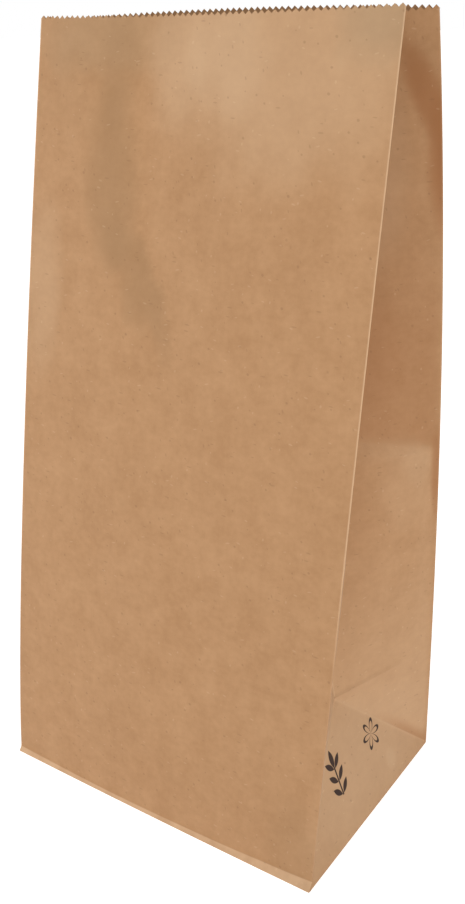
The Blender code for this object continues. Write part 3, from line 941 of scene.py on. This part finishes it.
def upright_folds(across, up):
    """Lines of wear and painted highlight along the four upright folds, fainter low down and at the
    back.
    """
    run = across % SIDE_MM
    line = abs(run - PANEL_MM).least(run).least(abs(run - SIDE_MM)).fade(*FOLD_LINE)
    by_height = up.fade(*WEAR_AND_HIGHLIGHT_HEIGHTS) * (1 - LOW_WEAR_AND_HIGHLIGHT) + LOW_WEAR_AND_HIGHLIGHT
    off_back = abs(across - SIDE_MM - PANEL_MM / 2).fade(*BACK_WEAR_AND_HIGHLIGHT_ENDS)
    return line * by_height * (off_back * (1 - BACK_WEAR_AND_HIGHLIGHT) + BACK_WEAR_AND_HIGHLIGHT)


def other_creases(across, up):
    """The gussets' centre creases, the base's diagonals and the cross crease of the flat bag."""
    half = GUSSET_MM / 2
    run = across % SIDE_MM
    above = up.fade(half - JOIN_SOFTNESS, half + JOIN_SOFTNESS)
    below = up.fade(half + JOIN_SOFTNESS, half - JOIN_SOFTNESS)
    centre = abs(run - PANEL_MM - half).fade(*CENTRE_LINE) * above
    in_gusset = (run - PANEL_MM).fade(-0.1, 0.1)
    diagonals = abs(run - PANEL_MM - up).least(abs(run - SIDE_MM + up)).fade(*BASE_LINE)
    diagonals = diagonals * in_gusset * below
    cross = abs(up - half).fade(*BASE_LINE) * (across - PANEL_MM - half).fade(0.0, 1.0)
    return centre.most(diagonals * DIAGONAL_WEAR).most(cross * CROSS_WEAR)


def painted_light_and_shade(colour, across, up, patches, within=1.0):
    """The paper's colour with patches of painted light and shade laid over it, within a mask."""
    for patch_colour, middle, half_size, lean, strength in patches:
        share = soft_patch(across, up, middle, half_size, lean) * within * strength
        colour = share.blend(colour, patch_colour)
    return colour


def gusset_light_and_shade(colour, across, up):
    """The gussets' colour with painted light low down and just below the slanting step, and painted
    shade above the step.
    """
    run = across % SIDE_MM - PANEL_MM
    inside = run.band(-1.0, 4.0, GUSSET_MM - 4.0, GUSSET_MM + 1.0)
    over_step = up - STEP_LINE_HEIGHT + abs(run - GUSSET_MM / 2) * STEP_LINE_SLOPE
    colour = (inside * up.band(*FOOT_BAND) * LIT_FOOT_STRENGTH).blend(colour, PAINTED_LIGHT_KRAFT)
    shade_over_step = inside * over_step.band(*OVER_STEP_BAND) * SHADE_OVER_STEP_STRENGTH
    colour = shade_over_step.blend(colour, PAINTED_SHADE_KRAFT)
    return (inside * over_step.band(*UNDER_STEP_BAND) * LIT_UNDER_STEP_STRENGTH).blend(colour, PAINTED_LIGHT_KRAFT)


def tucked_shade(across, up):
    """Painted shadow: a deeper band just above the base's diagonal crease, towards the back fold."""
    run = across - PANEL_MM
    above = (up + run - GUSSET_MM) * math.sqrt(0.5)
    return above.band(*TUCK_BAND) * run.band(*TUCK_REACH)


def glued_seam(across, up):
    """A painted shadow line along the free edge of the long seam down the back, and the glued strip
    beside it.
    """
    run = across - SIDE_MM - PANEL_MM / 2 - SEAM_FROM_MIDDLE * 1000
    width = SEAM_WIDTH * 1000
    outside = up.fade(0.0, 0.2)
    edge = abs(run).fade(*SEAM_SHADOW_LINE)
    return edge * outside, run.band(0.0, 1.0, width - 1.5, width + 0.5) * outside


def lip_mask(across, up):
    """The pinched fold along the front of the base: rubbing, with a painted highlight where its ledge
    faces up.
    """
    share = across / PANEL_MM
    top = lip_share(share) * LIP_HEIGHT * 1000
    on_front = share.fade(1.001, 0.999) * up.fade(-0.4, 0.0)
    return (up - top).fade(0.25, -0.15) * on_front


def leaf_sprig(across, up):
    """A plain upright sprig in flat ink, 20 mm tall, with three pairs of leaves and one at its tip."""
    aside = abs(across)
    rung = (up + SPRIG_FOOT) % LEAF_PITCH
    along = aside * LEAF_ASIDE + rung * LEAF_UPWARD - 0.5
    athwart = abs(rung * LEAF_ASIDE - aside * LEAF_UPWARD)
    leaf = ((1 - (along / LEAF_HALF_LENGTH - 1) ** 2) * LEAF_HALF_WIDTH - athwart).fade(0.0, 0.25)
    tip = (1 - ((up - TIP_HEIGHT) / TIP_HALF_LENGTH) ** 2 - aside / TIP_HALF_WIDTH).fade(0.0, 0.15)
    return (leaf.most(aside.fade(*STEM_LINE)) * up.band(*SPRIG_BAND)).most(tip)


def rosette(across, up):
    """Six petals in outline, 12 mm wide."""
    reach = (across ** 2 + up ** 2) ** 0.5
    turn = up.math("ARCTAN2", up, across)
    petal = abs(turn.math("COSINE", turn * (PETALS / 2))) * PETAL_LENGTH
    return abs(reach - petal).fade(*PETAL_LINE)


def printed(colour, across, up):
    """The paper's colour under the two drawings in flat ink."""
    sprig = leaf_sprig(across - LEAF_SPRIG_PLACE[0], up - LEAF_SPRIG_PLACE[1])
    ink = sprig.most(rosette(across - ROSETTE_PLACE[0], up - ROSETTE_PLACE[1]))
    return (ink * INK_STRENGTH).blend(colour, INK)


def kraft_paper():
    """Unbleached kraft: cloudy brown pulp with light and dark fibres, specks, wear along the folds, and
    painted light and shade.
    """
    material = bpy.data.materials.new("kraft_paper")
    material.use_nodes = True
    tree = material.node_tree
    tree.nodes.clear()
    paper = Wire(tree)
    flat = paper.node("ShaderNodeUVMap", {"uv_map": "UVMap"})
    place = paper.vector("MULTIPLY", flat, (1000.0, 1000.0, 1000.0))
    parts = paper.node("ShaderNodeSeparateXYZ", {}, {"Vector": place})
    across, up = parts["X"], parts["Y"]

    # The pulp, and the even tone that its grains vary
    grains = {name: grain(paper, place, *sizes[:-1]) for name, sizes in GRAINS.items()}
    tone = sum(((grains[name] - 0.5) * sizes[-1] for name, sizes in GRAINS.items()), 0.5)
    colour = tone.fade(0.0, 1.0).blend(DARK_KRAFT, LIGHT_KRAFT)

    # Painted light and shade: lit faces, sheen and shaded hollows of the folded paper
    cloud, patchy, mottle = grains["cloud"] - 0.5, grains["patchy"], grains["mottle"] - 0.5
    uneven_across = across + cloud * CLOUD_WANDER[0] + mottle * MOTTLE_WANDER
    uneven_up = up + cloud * CLOUD_WANDER[1]
    before_back = (across - SIDE_MM).fade(0.4, -0.2)
    colour = gusset_light_and_shade(colour, across, up + mottle * STEP_WANDER)
    colour = painted_light_and_shade(colour, uneven_across, uneven_up, UNEVEN_LIGHT_AND_SHADE)
    colour = painted_light_and_shade(colour, across, up, EVEN_LIGHT_AND_SHADE, before_back)

    # Fibres and specks; wear with a painted highlight along the folds and the lip; a painted shadow
    # above the base's diagonal crease; the seam's painted shadow line and glued strip; and the print
    light = flecks(paper, place, LIGHT_FIBRES)
    colour = (light * LIGHT_FIBRE_STRENGTH).blend(colour, PALE_FIBRE)
    colour = (flecks(paper, place, DARK_FIBRES) * DARK_FIBRE_STRENGTH).blend(colour, BARK_FIBRE_AND_SEAM_SHADOW)
    colour = (flecks(paper, place, SPECKS) * SPECK_STRENGTH).blend(colour, BARK_FIBRE_AND_SEAM_SHADOW)
    worn_and_lit_folds = upright_folds(across, up).most(other_creases(across, up) * CREASE_WEAR)
    colour = (worn_and_lit_folds * WEAR_AND_HIGHLIGHT_STRENGTH).blend(colour, WORN_AND_HIGHLIT_KRAFT)
    colour = (tucked_shade(across, up) * TUCK_SHADOW_STRENGTH).blend(colour, PAINTED_SHADE_KRAFT)
    seam_shadow, seam_strip = glued_seam(across, up)
    glue = seam_strip * (patchy * SEAM_STRIP_VARIATION + SEAM_STRIP_STRENGTH)
    colour = glue.blend(colour, SHADE_AND_GLUE_KRAFT)
    colour = (seam_shadow * SEAM_SHADOW_STRENGTH).blend(colour, BARK_FIBRE_AND_SEAM_SHADOW)
    # The lip: rubbing, with a painted highlight on its upward-facing ledge
    rubbed_and_lit = lip_mask(across, up) * (patchy * LIP_VARIATION + LIP_STRENGTH)
    colour = rubbed_and_lit.blend(colour, WORN_AND_HIGHLIT_KRAFT)
    colour = printed(colour, across, up)

    # The surface itself
    height = grains["pulp"] * 0.06 + grains["mottle"] * 0.30 + grains["ribs"] * 0.15
    height = height + light * 0.25 + worn_and_lit_folds * 0.35
    relief = paper.node("ShaderNodeBump", {}, {
        "Strength": RELIEF_STRENGTH, "Distance": RELIEF_DEPTH, "Height": height})
    shader = paper.node("ShaderNodeBsdfPrincipled", {}, {
        "Base Color": colour, "Roughness": mottle * 0.16 - light * 0.03 + PAPER_ROUGHNESS,
        "Normal": relief, "Specular IOR Level": PAPER_GLOSS})
    paper.node("ShaderNodeOutputMaterial", {}, {"Surface": shader})
    return material


def pale_floor():
    """A plain pale floor, wide enough to reach the camera's horizon."""
    mesh = bpy.data.meshes.new("floor")
    corners = [(x * FLOOR_REACH, y * FLOOR_REACH, 0.0) for x, y in ((-1, -1), (1, -1), (1, 1), (-1, 1))]
    mesh.from_pydata(corners, [], [(0, 1, 2, 3)])
    material = bpy.data.materials.new("pale_floor")
    material.use_nodes = True
    shader = material.node_tree.nodes["Principled BSDF"]
    shader.inputs["Base Color"].default_value = FLOOR_COLOUR
    shader.inputs["Roughness"].default_value = FLOOR_ROUGHNESS
    shader.inputs["Emission Color"].default_value = WHITE
    shader.inputs["Emission Strength"].default_value = FLOOR_GLOW
    mesh.materials.append(material)
    floor = bpy.data.objects.new("floor", mesh)
    bpy.context.scene.collection.objects.link(floor)


def add_light(name, kind, place, strength, softness):
    """A light that points at the middle of the bag; softness is its width, or a sun's angle."""
    light = bpy.data.lights.new(name, kind)
    light.energy = strength
    if kind == "SUN":
        light.angle = softness
    else:
        light.size = softness
    lamp = bpy.data.objects.new(name, light)
    lamp.location = place
    aim = Vector(LAMP_AIM) - Vector(place)
    lamp.rotation_euler = aim.to_track_quat("-Z", "Y").to_euler()
    bpy.context.scene.collection.objects.link(lamp)


def studio():
    """A white surround, soft boxes at the front, and broad light from above, the right and behind."""
    world = bpy.data.worlds.new("white_surround")
    world.use_nodes = True
    world.node_tree.nodes.clear()
    room = Wire(world.node_tree)
    lit = room.node("ShaderNodeBackground", {}, {"Color": WHITE, "Strength": AMBIENT})
    seen = room.node("ShaderNodeBackground", {}, {"Color": WHITE, "Strength": BACKDROP})
    camera_ray = room.node("ShaderNodeLightPath")["Is Camera Ray"]
    both = room.node("ShaderNodeMixShader", {}, (camera_ray, lit, seen))
    room.node("ShaderNodeOutputWorld", {}, {"Surface": both})
    bpy.context.scene.world = world
    bpy.context.scene.view_settings.view_transform = "Standard"
    for name, (kind, place, strength, softness) in LAMPS.items():
        add_light(name, kind, place, strength, softness)


def camera_as_photographed():
    """The camera where the photograph was taken from, with its lens."""
    level = Vector((math.cos(CAMERA_YAW), math.sin(CAMERA_YAW), 0.0))
    onward = Vector((-math.sin(CAMERA_YAW), math.cos(CAMERA_YAW), 0.0))
    ahead = math.cos(CAMERA_PITCH) * onward - math.sin(CAMERA_PITCH) * Vector((0.0, 0.0, 1.0))
    down = ahead.cross(level)
    right = math.cos(CAMERA_ROLL) * level + math.sin(CAMERA_ROLL) * down
    low = -math.sin(CAMERA_ROLL) * level + math.cos(CAMERA_ROLL) * down
    data = bpy.data.cameras.new("camera")
    data.lens = CAMERA_LENS
    data.sensor_width = CAMERA_SENSOR
    data.shift_x, data.shift_y = CAMERA_SHIFT
    data.clip_start = CAMERA_NEAREST
    camera = bpy.data.objects.new("camera", data)
    turn = Matrix((right, -low, -ahead)).transposed().to_4x4()
    camera.matrix_world = Matrix.Translation(CAMERA_PLACE) @ turn
    bpy.context.scene.collection.objects.link(camera)
    bpy.context.scene.camera = camera


bag = folded_sheet(kraft_paper())
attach(bag, "root")
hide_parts("paper_bag")
pale_floor()
studio()
camera_as_photographed()
